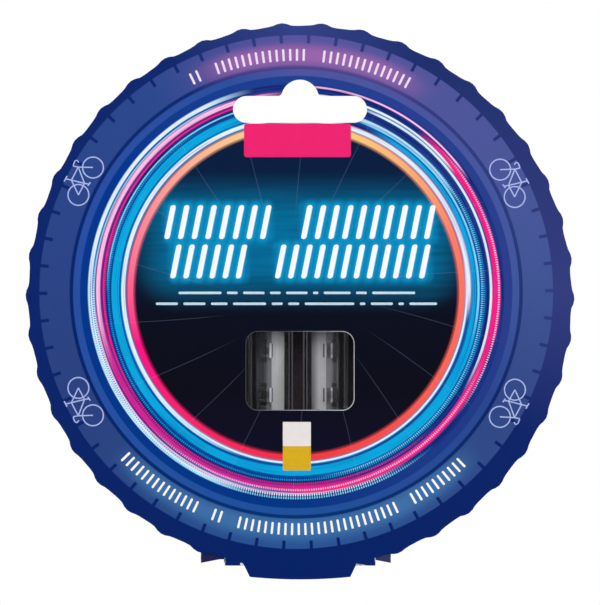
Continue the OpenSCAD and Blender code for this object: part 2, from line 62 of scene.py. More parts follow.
# Window: lap of the film behind the card, and radius of the rim's corners
FILM_LAP, WINDOW_R = 3.5, 2.85

# Print: centre, radii from the inside out, half width of soft edges, and soft edge of a line of light
PRINT_X, PRINT_Z = -0.9, 1.2
TRAIL_IN, INNER_R, TRAIL_OUT = 37.6, 39.6, 49.7
DEEP_RING_R, LIGHT_RING_R, RIM_LINE_R = 49.7, 51.6, 53.25
SIDEWALL_IN, SIDEWALL_OUT = 54.1, 61.3
SOFT, CORE_SOFT = 0.12, 0.22
# Ticks on the tyre wall: count, length, width, and degrees from the top to the first one
TICKS, TICK_L, TICK_W, TICK_AT = 58, 1.9, 0.8, 2.8
# Spokes: count, twist and hub radius of the lacing, inner and outer end and its fade, line edges, strength
SPOKES, LACING, HUB_R = 18, 26.0, 20.0
SPOKE_IN, SPOKE_OUT, SPOKE_FADE = 22.0, 50.0, 12.0
SPOKE_CORE, SPOKE_EDGE, SPOKE_SHARE = 0.02, 0.16, 0.06

# Slanted bars: height, width, lean and corner radius as shares, steps between two runs, and per row the
# middle height, first and last place, and counts
BAR_H, BAR_W, BAR_LEAN, BAR_ROUND = 8.1, 1.3, 0.2, 0.45
BAR_GAP = 2
BAR_ROWS = [(17.9, -31.0, 31.0, (8, 10)), (8.5, -29.6, 29.8, (6, 12))]
# Light round the bars: inset from their ends and reach; and the haze's middle, half size and reach
GLOW_INSET, GLOW_REACH = 0.6, 2.6
HAZE = (0.0, 13.2, 29.0, 4.5, 13.0)
# Rows of dashes: height and corner, and per row the middle height, first and last place, and lengths
DASH_H, DASH_R = 0.6, 0.28
DASH_ROWS = [(1.0, -29.0, 27.5, (8, 2, 4, 2, 4, 1, 5, 2, 8)),
             (-1.6, -34.4, 32.7, (4, 4, 3, 6, 2, 2, 9, 1, 4, 1, 5))]
# Marks on the tyre wall: radius, height and width, and per arc the first and last degree and counts
MARK_R, MARK_H, MARK_W = 56.6, 2.9, 0.55
TOP_MARKS = (-26.0, 28.0, (2, 14, 14))
LOW_MARKS = (226.0, 136.0, (14, 2, 25, 10))
# Films: middle x and z, width, height, corner radius and its steps
PINK_TAG = (-0.6, 37.4, 25.5, 8.0, 0.6, 6)
LABEL_UPPER = (-0.75, -32.7, 6.7, 5.8, 0.15, 3)
LABEL_LOWER = (-0.75, -38.5, 6.7, 5.8, 0.15, 3)
# Bicycle signs: middle x and z, degrees, and -1 for a mirrored one
SIGNS = [(-51.15, 27.65, 62, 1), (-51.15, -24.95, 118, -1), (49.5, 27.15, -62, -1), (49.5, -25.35, -119, 1)]

# Box: depth of the printed skin, width of a worn fold, and the glued seam's distance from the left side
SKIN, FOLD = 0.12 * MM, 0.35 * MM
SEAM_IN = 9.0
# Scale of paper fibres, and height of bumps in metres
FIBRES, BUMP_H = 2600.0, 0.0001

# LEDs: count on a face, pitch, length and depth of the recess; radius and height of the resin dome
LED_N, LED_PITCH, LED_L, LED_RECESS = 7, 10.7, 3.5, 0.3
LENS_R, LENS_H = 1.0, 0.22
# Half width of a board, and where its pads start and end from an LED's middle
BOARD_EDGE, PAD_FROM, PAD_TO = 3.4, 1.55, 2.85

# The photograph's frame: the width that it spans, its distance and middle; and the sensor's width
FRAME_SPAN, VIEW_FROM, VIEW_Z, SENSOR = 143.2, 700.0, -1.3, 36.0
# Floor: drop below the card in millimetres, half size in metres, and where it fades into white
FLOOR_DROP, FLOOR_HALF = 30, 1.5
FLOOR_NEAR, FLOOR_FAR = 0.10, 0.21
# Lamps: place in metres, power, size, and whether they show in gloss
LAMPS = {
    "key_lamp": ((-0.5, -0.8, 0.55), 2.3, 0.45, True),
    "fill_lamp": ((0.7, -0.75, 0.2), 1.4, 0.6, True),
    "front_lamp": ((0.0, -1.0, 0.3), 3.9, 0.5, False),
    "back_lamp": ((0.3, 0.8, 0.6), 8.0, 0.5, True),
}


def ink(red, green, blue):
    """Linear colour from the 0 to 255 values of a printed colour."""
    values = np.array([red, green, blue]) / 255.0
    linear = np.where(values <= 0.04045, values / 12.92, ((values + 0.055) / 1.055) ** 2.4)
    return (*[float(v) for v in linear], 1.0)


def shade(colour, share):
    """The same colour, share times as bright."""
    return tuple(min(1.0, share * c) for c in colour[:3]) + (1.0,)


WHITE, BLACK = (1.0, 1.0, 1.0, 1.0), (0.0, 0.0, 0.0, 1.0)
CYAN = ink(8, 165, 220)
SKY = ink(126, 214, 245)
PALE = ink(218, 238, 252)
ROSE = ink(246, 190, 232)
PINK = ink(246, 30, 128)
PLUM = ink(120, 30, 140)
MAGENTA = ink(214, 34, 146)
BLUE = ink(0, 84, 172)
NAVY_LEFT, NAVY_RIGHT, NAVY_WORN = ink(22, 30, 82), ink(49, 53, 103), ink(120, 124, 150)

# Disc: height that its colours span, and the colours from the bottom to the top
DISC_SPAN = 90.0
DISC_TONES = [
    (0.0, ink(15, 15, 42)), (0.25, ink(11, 11, 25)), (0.45, ink(9, 13, 29)), (0.7, ink(5, 31, 64)),
    (1.0, ink(9, 25, 58))]
# Ground of the light trails, and the band inside them: colours round the disc
TRAIL_GROUND = [
    (0.0, ink(2, 50, 134)), (0.25, ink(0, 44, 134)), (0.5, ink(26, 52, 132)),
    (0.75, ink(32, 58, 138))]
INNER_BAND = [
    (0.0, ink(240, 50, 60)), (0.2, ink(250, 15, 130)), (0.35, ink(250, 150, 150)),
    (0.5, ink(245, 215, 130)), (0.7, ink(250, 120, 100))]
# Light trails: radius, half width, glow, middle turn, half span, fade, shift x and z, halo and core colour
TRAILS = [
    (49.0, 0.42, 0.50, -0.25, 0.17, 0.05, -0.3, 0.2, CYAN, PALE),
    (47.9, 0.06, 0.50, -0.27, 0.18, 0.05, -0.4, 0.1, BLUE, SKY),
    (46.8, 0.34, 0.60, -0.20, 0.15, 0.05, -0.5, 0.5, PINK, ROSE),
    (45.6, 0.06, 0.40, -0.15, 0.15, 0.05, -0.4, 0.6, PLUM, PINK),
    (46.6, 0.50, 0.60, -0.41, 0.09, 0.06, -0.2, -0.2, PLUM, MAGENTA),
    (47.8, 0.05, 0.40, -0.43, 0.13, 0.05, -0.2, -0.3, PLUM, ROSE),
    (46.7, 0.66, 0.35, 0.37, 0.11, 0.05, 0.4, -0.5, PLUM, PINK),
    (47.5, 0.60, 0.40, 0.20, 0.07, 0.03, 0.5, -0.1, MAGENTA, PINK),
    (46.1, 0.16, 0.35, 0.19, 0.11, 0.04, 0.4, 0.2, BLUE, PALE),
    (48.7, 0.10, 0.35, 0.08, 0.06, 0.02, 0.2, 0.4, PLUM, ROSE),
    (46.9, 0.16, 0.35, 0.07, 0.06, 0.02, 0.2, 0.3, BLUE, PALE),
    (44.7, 0.05, 0.30, -0.11, 0.10, 0.05, -0.4, 0.4, BLUE, SKY),
    (43.6, 0.26, 0.60, 0.08, 0.06, 0.03, 0.3, 0.2, CYAN, PALE),
    (43.0, 0.80, 1.40, -0.30, 0.23, 0.08, -0.2, 0.2, BLUE, CYAN),
    (42.6, 0.95, 1.10, 0.36, 0.15, 0.06, 0.2, -0.2, BLUE, CYAN),
    (43.2, 0.14, 0.80, 0.17, 0.09, 0.04, 0.3, 0.1, BLUE, SKY),
    (42.2, 0.30, 0.70, 0.20, 0.10, 0.04, 0.3, 0.1, BLUE, CYAN),
    (41.1, 0.34, 0.55, -0.20, 0.20, 0.06, -0.2, 0.3, CYAN, PALE),
    (40.6, 0.12, 0.60, 0.42, 0.16, 0.05, 0.1, -0.2, CYAN, PALE),
    (41.0, 0.30, 0.60, 0.14, 0.10, 0.04, 0.2, 0.1, ROSE, PALE),
]
# Rows of fine light dots: radius, half width, middle turn, half span, colour; and dots in a full turn
DOT_ROWS = [
    (49.2, 0.16, -0.42, 0.15, SKY),
    (48.5, 0.16, -0.41, 0.14, PALE),
    (47.3, 0.14, 0.47, 0.12, ROSE),
    (45.8, 0.12, -0.40, 0.18, PINK),
    (44.9, 0.12, 0.36, 0.16, CYAN),
    (44.4, 0.12, 0.30, 0.14, SKY),
    (44.8, 0.12, -0.28, 0.16, CYAN),
    (48.4, 0.14, 0.24, 0.07, ROSE),
]
DOTS = 540.0
# Rings of the tyre: inner radius, half width of the soft edge, and colours round the disc
RINGS = [
    (DEEP_RING_R, 0.2, [
        (0.0, ink(2, 53, 130)), (0.35, ink(2, 52, 138)), (0.5, ink(30, 62, 140)),
        (0.75, ink(42, 60, 136))]),
    (LIGHT_RING_R, 0.15, [
        (0.0, ink(30, 80, 155)), (0.3, ink(40, 76, 158)), (0.45, ink(42, 76, 153)), (0.5, ink(76, 81, 154)),
        (0.75, ink(62, 84, 153)), (0.83, ink(42, 68, 140))]),
    (RIM_LINE_R, SOFT, [
        (0.0, ink(4, 50, 114)), (0.2, ink(3, 34, 101)), (0.42, ink(10, 40, 110)), (0.5, ink(60, 56, 126)),
        (0.7, ink(40, 58, 120)), (0.83, ink(12, 36, 100))]),
    (SIDEWALL_IN, SOFT, [
        (0.0, ink(40, 84, 148)), (0.17, ink(42, 64, 126)), (0.4, ink(42, 70, 138)), (0.5, ink(86, 82, 152)),
        (0.72, ink(66, 84, 148)), (0.83, ink(48, 70, 130))]),
]
TREAD = [
    (0.0, ink(4, 34, 101)), (0.42, ink(14, 38, 107)), (0.5, ink(50, 62, 129)), (0.58, ink(28, 45, 105)),
    (0.75, ink(50, 59, 123)), (0.84, ink(10, 35, 101))]
# Glow round the arc marks: middle turn, half span, fade, reach, inner radius, strength and colour
HALOS = [
    (0.011, 0.045, 0.045, 3.4, RIM_LINE_R, 0.95, ink(150, 98, 166)),
    (0.5, 0.108, 0.030, 3.8, SIDEWALL_IN, 0.37, ink(84, 146, 196)),
]
# Arcs on the box, about a point at its lower left: radius, half width, glow and colours
SWEEP_X, SWEEP_Z = -64.0, -84.0
SWEEPS = [
    (96.0, 0.50, 2.2, CYAN, PALE),
    (93.6, 0.16, 1.2, BLUE, SKY),
    (91.2, 0.36, 1.8, PINK, ROSE),
    (88.0, 0.12, 1.2, PLUM, PINK),
    (100.4, 0.14, 1.4, BLUE, CYAN),
    (104.0, 0.10, 1.0, PLUM, MAGENTA),
]
# Boards: side of the LEDs; lane's edge, pads' inner and outer edge and painted highlight line from the axis
# to that side; and the tones of the white far from (painted shade) and near the LEDs, of the lane inside
# and outside (painted shade), of the line
BOARDS = {
    "left_": (-1.0, (-0.35, 0.85, 2.6, 3.2), (
        ink(208, 206, 198), ink(220, 217, 218), ink(134, 132, 140), ink(46, 44, 58), ink(50, 48, 60))),
    "right_": (1.0, (0.1, 1.5, 2.7, 2.8), (
        ink(138, 134, 135), ink(216, 211, 213), ink(152, 148, 150), ink(70, 67, 70), ink(112, 110, 113))),
}
# LEDs: where the body's tone turns, inner tone and outer tone (painted shade), strips' tone, and their
# middles and half widths
# the strips are tinned terminals; the right LED's strip at 0.2 is a painted highlight
LEDS = {
    "left_": (-0.35, ink(128, 126, 132), ink(16, 15, 24), ink(250, 250, 252), [(-1.3, 0.22)]),
    "right_": (0.5, ink(110, 106, 110), ink(40, 38, 42), ink(212, 210, 213), [(-1.25, 0.2), (0.2, 0.2)]),
}


class Tree:
    """Short calls that add shader nodes and give back an output."""

    def __init__(self, tree):
        self.tree = tree

    def feed(self, socket, value):
        """Links an output to the socket, or sets a constant on it."""
        if isinstance(value, bpy.types.NodeSocket):
            self.tree.links.new(value, socket)
        elif value is not None:
            socket.default_value = value

    def set(self, node, **values):
        """Feeds a node's inputs by name, with _ for a blank."""
        for name, value in values.items():
            self.feed(node.inputs[name.replace("_", " ")], value)
        return node

    def add(self, kind, *values, **settings):
        """New shader node with these settings; the values feed its inputs in order."""
        node = self.tree.nodes.new("ShaderNode" + kind)
        for name, setting in settings.items():
            setattr(node, name, setting)
        for socket, value in zip(node.inputs, values):
            self.feed(socket, value)
        return node

    def group(self, kind, *values):
        """Places a shared effect with its own values."""
        return self.add("Group", *values, node_tree=kind).outputs

    def math(self, operation, a, b=None, c=None):
        return self.add("Math", a, b, c, operation=operation).outputs[0]

    def plus(self, a, b):
        return self.math("ADD", a, b)

    def minus(self, a, b):
        return self.math("SUBTRACT", a, b)

    def times(self, a, b):
        return self.math("MULTIPLY", a, b)

    def over(self, a, b):
        return self.math("DIVIDE", a, b)

    def most(self, a, b):
        return self.math("MAXIMUM", a, b)

    def least(self, a, b):
        return self.math("MINIMUM", a, b)

    def linear(self, value, factor, offset):
        """Factor times the value, plus offset."""
        return self.math("MULTIPLY_ADD", value, factor, offset)

    def apart(self, a, b):
        """Distance between two values."""
        return self.math("ABSOLUTE", self.minus(a, b))

    def length(self, x, z):
        """Distance of the point (x, z) from the origin."""
        return self.math("SQRT", self.plus(self.times(x, x), self.times(z, z)))

    def step(self, value, low, high, start=0.0, end=1.0):
        """Smooth step from start to end while value goes from low to high."""
        values = (value, low, high, start, end)
        return self.add("MapRange", *values, interpolation_type="SMOOTHSTEP").outputs[0]

    def fall(self, value, low, high, start=1.0):
        """Smooth step from start down to 0 while value goes from low to high."""
        return self.step(value, low, high, start, 0.0)

    def past(self, value, place, soft, end=1.0):
        """0 below the place and end above it, changing over soft to each side."""
        return self.step(value, place - soft, place + soft, 0.0, end)

    def band(self, value, low, high, soft):
        """1 between low and high, 0 outside, with edges that are soft wide."""
        rise = self.past(value, low, soft / 2)
        return self.times(rise, self.fall(value, high - soft / 2, high + soft / 2))

    def mix_value(self, share, a, b):
        """Value between a and b."""
        return self.add("Mix", share, None, a, b).outputs[0]

    def mix(self, share, a, b):
        """Colour between a and b; the node's value and vector inputs lie before its colours."""
        unused = [None] * 5
        return self.add("Mix", share, *unused, a, b, data_type="RGBA").outputs[2]

    def ramp(self, value, stops):
        """Colour that goes through the stops, each a place from 0 to 1 and a colour."""
        node = self.add("ValToRGB", value)
        elements = node.color_ramp.elements
        while len(elements) < len(stops):
            elements.new(1.0)
        for element, (place, colour) in zip(elements, stops):
            element.position = place
            element.color = colour
        return node.outputs[0]

    def noise(self, vector, scale, detail=2.0, roughness=0.5):
        node = self.add("TexNoise")
        return self.set(node, Vector=vector, Scale=scale, Detail=detail, Roughness=roughness).outputs[0]

    def bump(self, height, strength):
        node = self.add("Bump")
        return self.set(node, Strength=strength, Distance=BUMP_H, Height=height).outputs[0]

    def vector(self, x, y, z):
        return self.add("CombineXYZ", x, y, z).outputs[0]

    def stretch(self, vector, x, y, z):
        return self.add("VectorMath", vector, (x, y, z), operation="MULTIPLY").outputs[0]

    def axes(self, vector):
        return self.add("SeparateXYZ", vector).outputs

    def normal_axes(self):
        """The surface's own direction as x, y and z."""
        return self.axes(self.add("NewGeometry").outputs["Normal"])


def shared_effect(name, inputs, outputs, build):
    """Shader group: build gets its Tree and input sockets, and returns what the outputs carry."""
    tree = bpy.data.node_groups.new(name, "ShaderNodeTree")
    for label in inputs:
        kind = "NodeSocketVector" if label == "Place" else "NodeSocketFloat"
        tree.interface.new_socket(name=label, in_out="INPUT", socket_type=kind)
    for label in outputs:
        tree.interface.new_socket(name=label, in_out="OUTPUT", socket_type="NodeSocketFloat")
    entry = tree.nodes.new("NodeGroupInput")
    leave = tree.nodes.new("NodeGroupOutput")
    helper = Tree(tree)
    results = build(helper, *entry.outputs[: len(inputs)])
    for socket, value in zip(leave.inputs, results):
        helper.feed(socket, value)
    return tree


def card_effect(t, place):
    """Millimetres on the card: x to the right and z up from the disc's centre."""
    axes = t.axes(place)
    return t.over(axes[0], MM), t.plus(t.over(axes[2], MM), DISC_DROP)


def polar_effect(t, place, centre_x, centre_z):
    """Radius in mm about a centre on the card, and the turn from -0.5 to 0.5, clockwise from the top."""
    card_x, card_z = t.group(card_place, place)
    x, z = t.minus(card_x, centre_x), t.minus(card_z, centre_z)
    return t.length(x, z), t.over(t.math("ARCTAN2", x, z), 2 * math.pi)


def trail_effect(t, place, centre_x, centre_z, radius, half_w, glow, middle, half_span, fade):
    """Arc of light about a radius and over a span of turns: a sharp core, and a halo glow wide round it."""
    r, turn = t.group(polar, place, centre_x, centre_z)
    off = t.apart(r, radius)
    core = t.fall(off, half_w, t.plus(half_w, CORE_SOFT))
    halo = t.fall(off, half_w, t.plus(half_w, glow))
    away = t.math("WRAP", t.minus(turn, middle), 0.5, -0.5)
    along = t.fall(t.math("ABSOLUTE", away), half_span, t.plus(half_span, fade))
    return t.times(core, along), t.times(halo, along)


def glow_effect(t, place, centre_x, centre_z, half_w, half_h, reach):
    """Soft light round a box: full inside it, falling to nothing at reach outside it."""
    card_x, card_z = t.group(card_place, place)
    out_x = t.most(t.minus(t.apart(card_x, centre_x), half_w), 0.0)
    out_z = t.most(t.minus(t.apart(card_z, centre_z), half_h), 0.0)
    return (t.fall(t.length(out_x, out_z), 0.0, reach),)


def fibre_effect(t, place, scale):
    """Fine speckle of pressed paper fibres: short streaks in two directions plus a slow cloud."""
    one = t.noise(t.stretch(place, 1.0, 1.0, 0.3), scale, 4.0, 0.6)
    two = t.noise(t.stretch(place, 0.3, 1.0, 1.0), scale, 4.0, 0.6)
    cloud = t.noise(place, t.times(scale, 0.02), 2.0)
    fine = t.times(t.plus(one, two), 0.4)
    return (t.plus(fine, t.times(cloud, 0.2)),)


card_place = shared_effect("card_place", ["Place"], ["Card X", "Card Z"], card_effect)
polar = shared_effect("plate_polar", ["Place", "Centre X", "Centre Z"], ["Radius", "Turn"], polar_effect)
light_trail = shared_effect(
    "light_trail",
    ["Place", "Centre X", "Centre Z", "Radius", "Half width", "Glow", "Middle", "Half span", "Fade"],
    ["Core", "Halo"], trail_effect)
glow_box = shared_effect(
    "glow_box", ["Place", "Centre X", "Centre Z", "Half width", "Half height", "Reach"], ["Mask"],
    glow_effect)
paper_fibre = shared_effect("paper_fibre", ["Place", "Scale"], ["Speckle"], fibre_effect)


class Look(Tree):
    """Tree of a new material with a Principled shader."""

    def __init__(self, name):
        self.material = bpy.data.materials.new(name)
        self.material.use_nodes = True
        super().__init__(self.material.node_tree)
        self.shader = self.tree.nodes["Principled BSDF"]

    def finish(self, **values):
        """Feeds the shader's inputs by name, and gives back the material."""
        self.set(self.shader, **values)
        return self.material


def new_look(name):
    """Look of a new material, and the place on the object."""
    t = Look(name)
    return t, t.add("TexCoord").outputs["Object"]


def angle_ramp(t, turn, stops):
    """Colour round the disc; places run clockwise from the bottom over left, top and right to the bottom,
    where the first colour comes again."""
    return t.ramp(t.plus(turn, 0.5), [*stops, (1.0, stops[0][1])])


def bar_places(left, right, counts):
    """Places of a row of bars: runs of even steps, with BAR_GAP steps left out between two runs."""
    starts = np.concatenate([[0], np.cumsum(np.array(counts[:-1]) + BAR_GAP)])
    steps = np.concatenate([np.arange(count) + start for start, count in zip(starts, counts)])
    return left + (right - left) * steps / steps.max(), (right - left) / steps.max()


def inner_disc_colour(t, place):
    """Near-black disc, bluer towards the top, with the light that the two bar rows throw on it."""
    card_x, card_z = t.group(card_place, place)
    colour = t.ramp(t.linear(card_z, 1 / DISC_SPAN, 0.5), DISC_TONES)
    haze = t.group(glow_box, place, *HAZE)[0]
    streak = t.noise(t.vector(t.times(card_x, 0.05), 0.0, t.times(card_z, 0.9)), 1.0, 3.0)
    colour = t.mix(t.times(haze, t.linear(streak, 0.9, 0.35)), colour, ink(2, 112, 158))
    for row_z, left, right, counts in BAR_ROWS:
        pitch = bar_places(left, right, counts)[1]
        lean = t.times(t.minus(card_z, row_z), BAR_LEAN)
        along = t.over(t.minus(t.minus(card_x, lean), left), pitch)
        off = t.times(t.math("PINGPONG", along, 0.5), pitch)
        first = left
        for count in counts:
            half = (count - 1) * pitch / 2
            run = (first + half, row_z, half, BAR_H / 2 - GLOW_INSET, GLOW_REACH)
            glow = t.times(t.group(glow_box, place, *run)[0], t.step(off, 0.3, 1.8, 0.95, 0.45))
            colour = t.mix(glow, colour, ink(10, 152, 206))
            first += 2 * half + (BAR_GAP + 1) * pitch
    return colour


def spoke_mask(t, place):
    """Thin straight wheel spokes that pass the hub off its centre, as laced spokes do."""
    radius, turn = t.group(polar, place, 0.0, 0.0)
    lean = t.over(LACING, t.plus(radius, HUB_R))
    phase = t.math("FRACT", t.linear(turn, float(SPOKES), lean))
    apart = t.times(t.apart(phase, 0.5), 2 * math.pi / SPOKES)
    line = t.fall(t.times(apart, radius), SPOKE_CORE, SPOKE_EDGE, SPOKE_SHARE)
    return t.times(line, t.band(radius, SPOKE_IN, SPOKE_OUT, SPOKE_FADE))


def trail_ring_colour(t, place, radius, turn, colour):
    """Ring of light trails over the disc: a coloured inner band, arcs, dotted rows and fine streaks."""
    ground = angle_ramp(t, turn, TRAIL_GROUND)
    streak = t.noise(t.vector(t.times(radius, 1.9), t.times(turn, 9.0), 0.0), 1.0, 3.0, 0.6)
    ground = t.mix(t.step(streak, 0.42, 0.62, 0.0, 0.75), ground, ink(6, 20, 84))
    colour = t.mix(t.step(radius, TRAIL_IN + 1.5, TRAIL_IN + 3.0), colour, ground)
    inner = angle_ramp(t, turn, INNER_BAND)
    core, halo = t.group(light_trail, place, PRINT_X, PRINT_Z, INNER_R, 0.55, 0.9, 0.0, 0.6, 0.1)
    colour = t.mix(t.times(halo, 0.55), colour, inner)
    colour = t.mix(core, colour, inner)
    for r, half_w, glow, middle, span, fade, x, z, halo_tint, tint in TRAILS:
        arc = (PRINT_X + x, PRINT_Z + z, r, half_w, glow, middle, span, fade)
        core, halo = t.group(light_trail, place, *arc)
        colour = t.mix(t.times(halo, 0.7), colour, halo_tint)
        colour = t.mix(core, colour, tint)
    dots = t.step(t.math("SINE", t.times(turn, 2 * math.pi * DOTS)), -0.6, 0.5)
    for r, half_w, middle, span, tint in DOT_ROWS:
        core = t.group(light_trail, place, PRINT_X, PRINT_Z, r, half_w, 0.2, middle, span, 0.05)[0]
        colour = t.mix(t.times(core, dots), colour, tint)
    fine = t.noise(t.vector(t.times(radius, 5.2), t.times(turn, 14.0), 4.0), 1.0, 2.0)
    ring = t.band(radius, TRAIL_IN + 3.4, TRAIL_OUT, 0.6)
    veil = t.times(ring, t.step(fine, 0.5, 0.7, 0.0, 0.5))
    return t.mix(veil, colour, ink(8, 40, 128))


def printed_colour(t, place):
    """Print of the card: disc, ring of light trails, tyre wall with ticks, and tread."""
    radius, turn = t.group(polar, place, PRINT_X, PRINT_Z)
    colour = inner_disc_colour(t, place)
    colour = trail_ring_colour(t, place, radius, turn, colour)
    colour = t.mix(spoke_mask(t, place), colour, ink(170, 196, 240))
    for inner, soft, stops in RINGS:
        colour = t.mix(t.past(radius, inner, soft), colour, angle_ramp(t, turn, stops))
    for middle, span, fade, reach, low, strength, tint in HALOS:
        halo = t.group(light_trail, place, PRINT_X, PRINT_Z, MARK_R, 0.5, reach, middle, span, fade)[1]
        colour = t.mix(t.times(halo, t.past(radius, low, SOFT, strength)), colour, tint)
    beat = t.math("PINGPONG", t.plus(turn, 1 - TICK_AT / 360), 0.5 / TICKS)
    half = TICK_W / 2
    tick = t.fall(t.times(beat, 2 * math.pi * SIDEWALL_OUT), half - SOFT / 2, half + SOFT / 2)
    tick = t.times(tick, t.past(radius, SIDEWALL_OUT - TICK_L, 0.1))
    edge = t.most(tick, t.past(radius, SIDEWALL_OUT, SOFT))
    return t.mix(edge, colour, angle_ramp(t, turn, TREAD))


def raw_board(t, place):
    """Colour and relief of uncoated board."""
    speckle = t.group(paper_fibre, place, FIBRES)[0]
    return t.mix(speckle, ink(194, 191, 186), ink(238, 236, 232)), speckle


def printed_card_material():
    """Coated board: the print in front, raw white board on the cut edges and the back."""
    t, place = new_look("printed_card")
    raw, speckle = raw_board(t, place)
    front = t.fall(t.normal_axes()[1], -0.6, -0.4)
    return t.finish(
        Base_Color=t.mix(front, raw, printed_colour(t, place)), Roughness=t.linear(front, -0.44, 0.86),
        Specular_IOR_Level=0.03, Normal=t.bump(speckle, 0.1))


def sleeve_material():
    """Folded sleeve: print on its four outer faces, worn along the folds; raw board inside and on cuts."""
    t, place = new_look("box_board")
    low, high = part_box("box_sleeve")
    middle, half_w = (low.x + high.x) / 2, (high.x - low.x) / 2
    x, y, z = t.axes(place)
    nx, ny = t.normal_axes()[:2]
    from_side = t.minus(half_w, t.apart(x, middle))
    from_back, from_front = t.minus(high.y, y), t.minus(y, low.y)
    on_side = t.times(t.math("ABSOLUTE", nx), t.fall(from_side, SKIN, 2 * SKIN))
    on_back = t.times(ny, t.fall(from_back, SKIN, 2 * SKIN))
    on_front = t.times(t.times(ny, -1.0), t.fall(from_front, SKIN, 2 * SKIN))
    flat = t.most(on_back, on_front)
    printed = t.step(t.most(flat, on_side), 0.6, 0.8)
    to_fold = t.least(t.most(from_side, on_side),
                      t.most(t.least(from_back, from_front), t.step(flat, 0.5, 0.6)))
    raw, speckle = raw_board(t, place)
    rub = t.step(t.noise(place, 700.0, 5.0, 0.7), 0.42, 0.62)
    worn = t.times(t.fall(to_fold, 0.0, FOLD, 0.85), rub)
    cloud = t.noise(place, 60.0, 3.0)
    tone = t.mix(t.step(x, middle - half_w, middle + half_w), NAVY_LEFT, NAVY_RIGHT)
    tone = t.mix(t.step(cloud, 0.3, 0.7, 0.0, 0.2), tone, ink(16, 18, 48))
    # The arcs run on round the corners: on a side, depth takes the place of x
    away = t.times(t.plus(from_back, half_w), nx)
    round_box = t.vector(t.mix_value(on_side, x, t.plus(away, middle)), 0.0, z)
    shown = t.step(t.most(on_back, on_side), 0.5, 0.6)
    for r, sweep_hw, glow, halo_tint, tint in SWEEPS:
        core, halo = t.group(light_trail, round_box, SWEEP_X, SWEEP_Z, r, sweep_hw, glow, 0.0, 0.5, 0.1)
        tone = t.mix(t.times(t.times(halo, shown), 0.6), tone, halo_tint)
        tone = t.mix(t.times(core, shown), tone, tint)
    left_back = t.times(on_back, t.math("LESS_THAN", x, middle))
    seam = t.fall(t.apart(from_side, SEAM_IN * MM), 0.05 * MM, 0.25 * MM, 0.5)
    tone = t.mix(t.times(left_back, seam), tone, ink(8, 10, 30))
    return t.finish(
        Base_Color=t.mix(printed, raw, t.mix(worn, tone, NAVY_WORN)),
        Roughness=t.linear(printed, -0.4, 0.86), Specular_IOR_Level=0.12, Normal=t.bump(speckle, 0.15))


def flap_material():
    """Flaps under the box: print on the faces that look down or forward, raw board above and on cuts."""
    t, place = new_look("flap_board")
    ny, nz = t.normal_axes()[1:]
    printed = t.fall(t.least(ny, nz), -0.6, -0.5)
    raw, speckle = raw_board(t, place)
    cloud = t.noise(place, 60.0, 3.0)
    tone = t.mix(t.step(cloud, 0.3, 0.7), NAVY_LEFT, shade(NAVY_LEFT, 0.8))
    return t.finish(
        Base_Color=t.mix(printed, raw, tone), Roughness=t.linear(printed, -0.4, 0.86),
        Specular_IOR_Level=0.3, Normal=t.bump(speckle, 0.15))


def black_board_material():
    """Matt charcoal card with grey fibres in its surface."""
    t, place = new_look("black_board")
    speckle = t.group(paper_fibre, place, 2200.0)[0]
    return t.finish(
        Base_Color=t.mix(t.step(speckle, 0.35, 0.75), ink(64, 55, 59), ink(90, 80, 85)),
        Roughness=t.linear(speckle, 0.2, 0.7), Specular_IOR_Level=0.2, Normal=t.bump(speckle, 0.25))


def flat_ink_material(name, colour, variation=0.04):
    """Printed film of one colour with the slight mottle of a printed solid."""
    t, place = new_look(name)
    mottle = t.noise(place, 900.0, 4.0, 0.6)
    return t.finish(
        Base_Color=t.mix(mottle, shade(colour, 1 - 3 * variation), colour),
        Roughness=t.linear(mottle, 0.1, 0.4), Specular_IOR_Level=0.05)


def cut_edge_material(centre_x, centre_z):
    """Edge of the window cut: bare board with painted light at the right and below and painted shade at the
    upper left.
    """
    t, place = new_look("cut_edge")
    half_w, half_h = 13.0, 9.5
    card_x, card_z = t.group(card_place, place)
    x = t.over(t.minus(card_x, centre_x), half_w)
    z = t.over(t.minus(card_z, centre_z), half_h)
    # painted light at the right and below, painted shade at the upper left
    painted_light = t.step(t.minus(t.times(x, 0.8), t.times(z, 0.3)), -0.6, 0.95)
    speckle = t.group(paper_fibre, place, FIBRES)[0]
    bright = t.mix(speckle, ink(176, 178, 186), ink(214, 216, 222))
    return t.finish(
        Base_Color=t.mix(painted_light, ink(70, 69, 80), bright), Roughness=t.linear(speckle, 0.2, 0.6),
        Specular_IOR_Level=0.15)


def raw_edge_material():
    """Edge of the board where the print has chipped off the cut: pale fibres with breaks in them. It also
    colours the painted highlights at the curled corners.
    """
    t, place = new_look("raw_edge")
    raw, speckle = raw_board(t, place)
    chips = t.step(t.noise(place, 1500.0, 4.0, 0.6), 0.35, 0.6)
    return t.finish(
        Base_Color=t.mix(chips, ink(110, 116, 150), raw), Roughness=t.linear(speckle, 0.2, 0.65),
        Specular_IOR_Level=0.15)


def clear_film_material():
    """Thin clear film: open when seen straight, glossy along its face, with faint handling haze."""
    t, place = new_look("clear_film")
    haze = t.noise(place, 120.0, 4.0, 0.6)
    gloss = t.add("Fresnel", 1.45).outputs[0]
    return t.finish(
        Base_Color=t.mix(haze, ink(26, 27, 30), ink(52, 54, 58)), Roughness=t.linear(haze, 0.08, 0.04),
        Alpha=t.linear(gloss, 0.9, t.step(haze, 0.4, 0.8, 0.01, 0.04)))


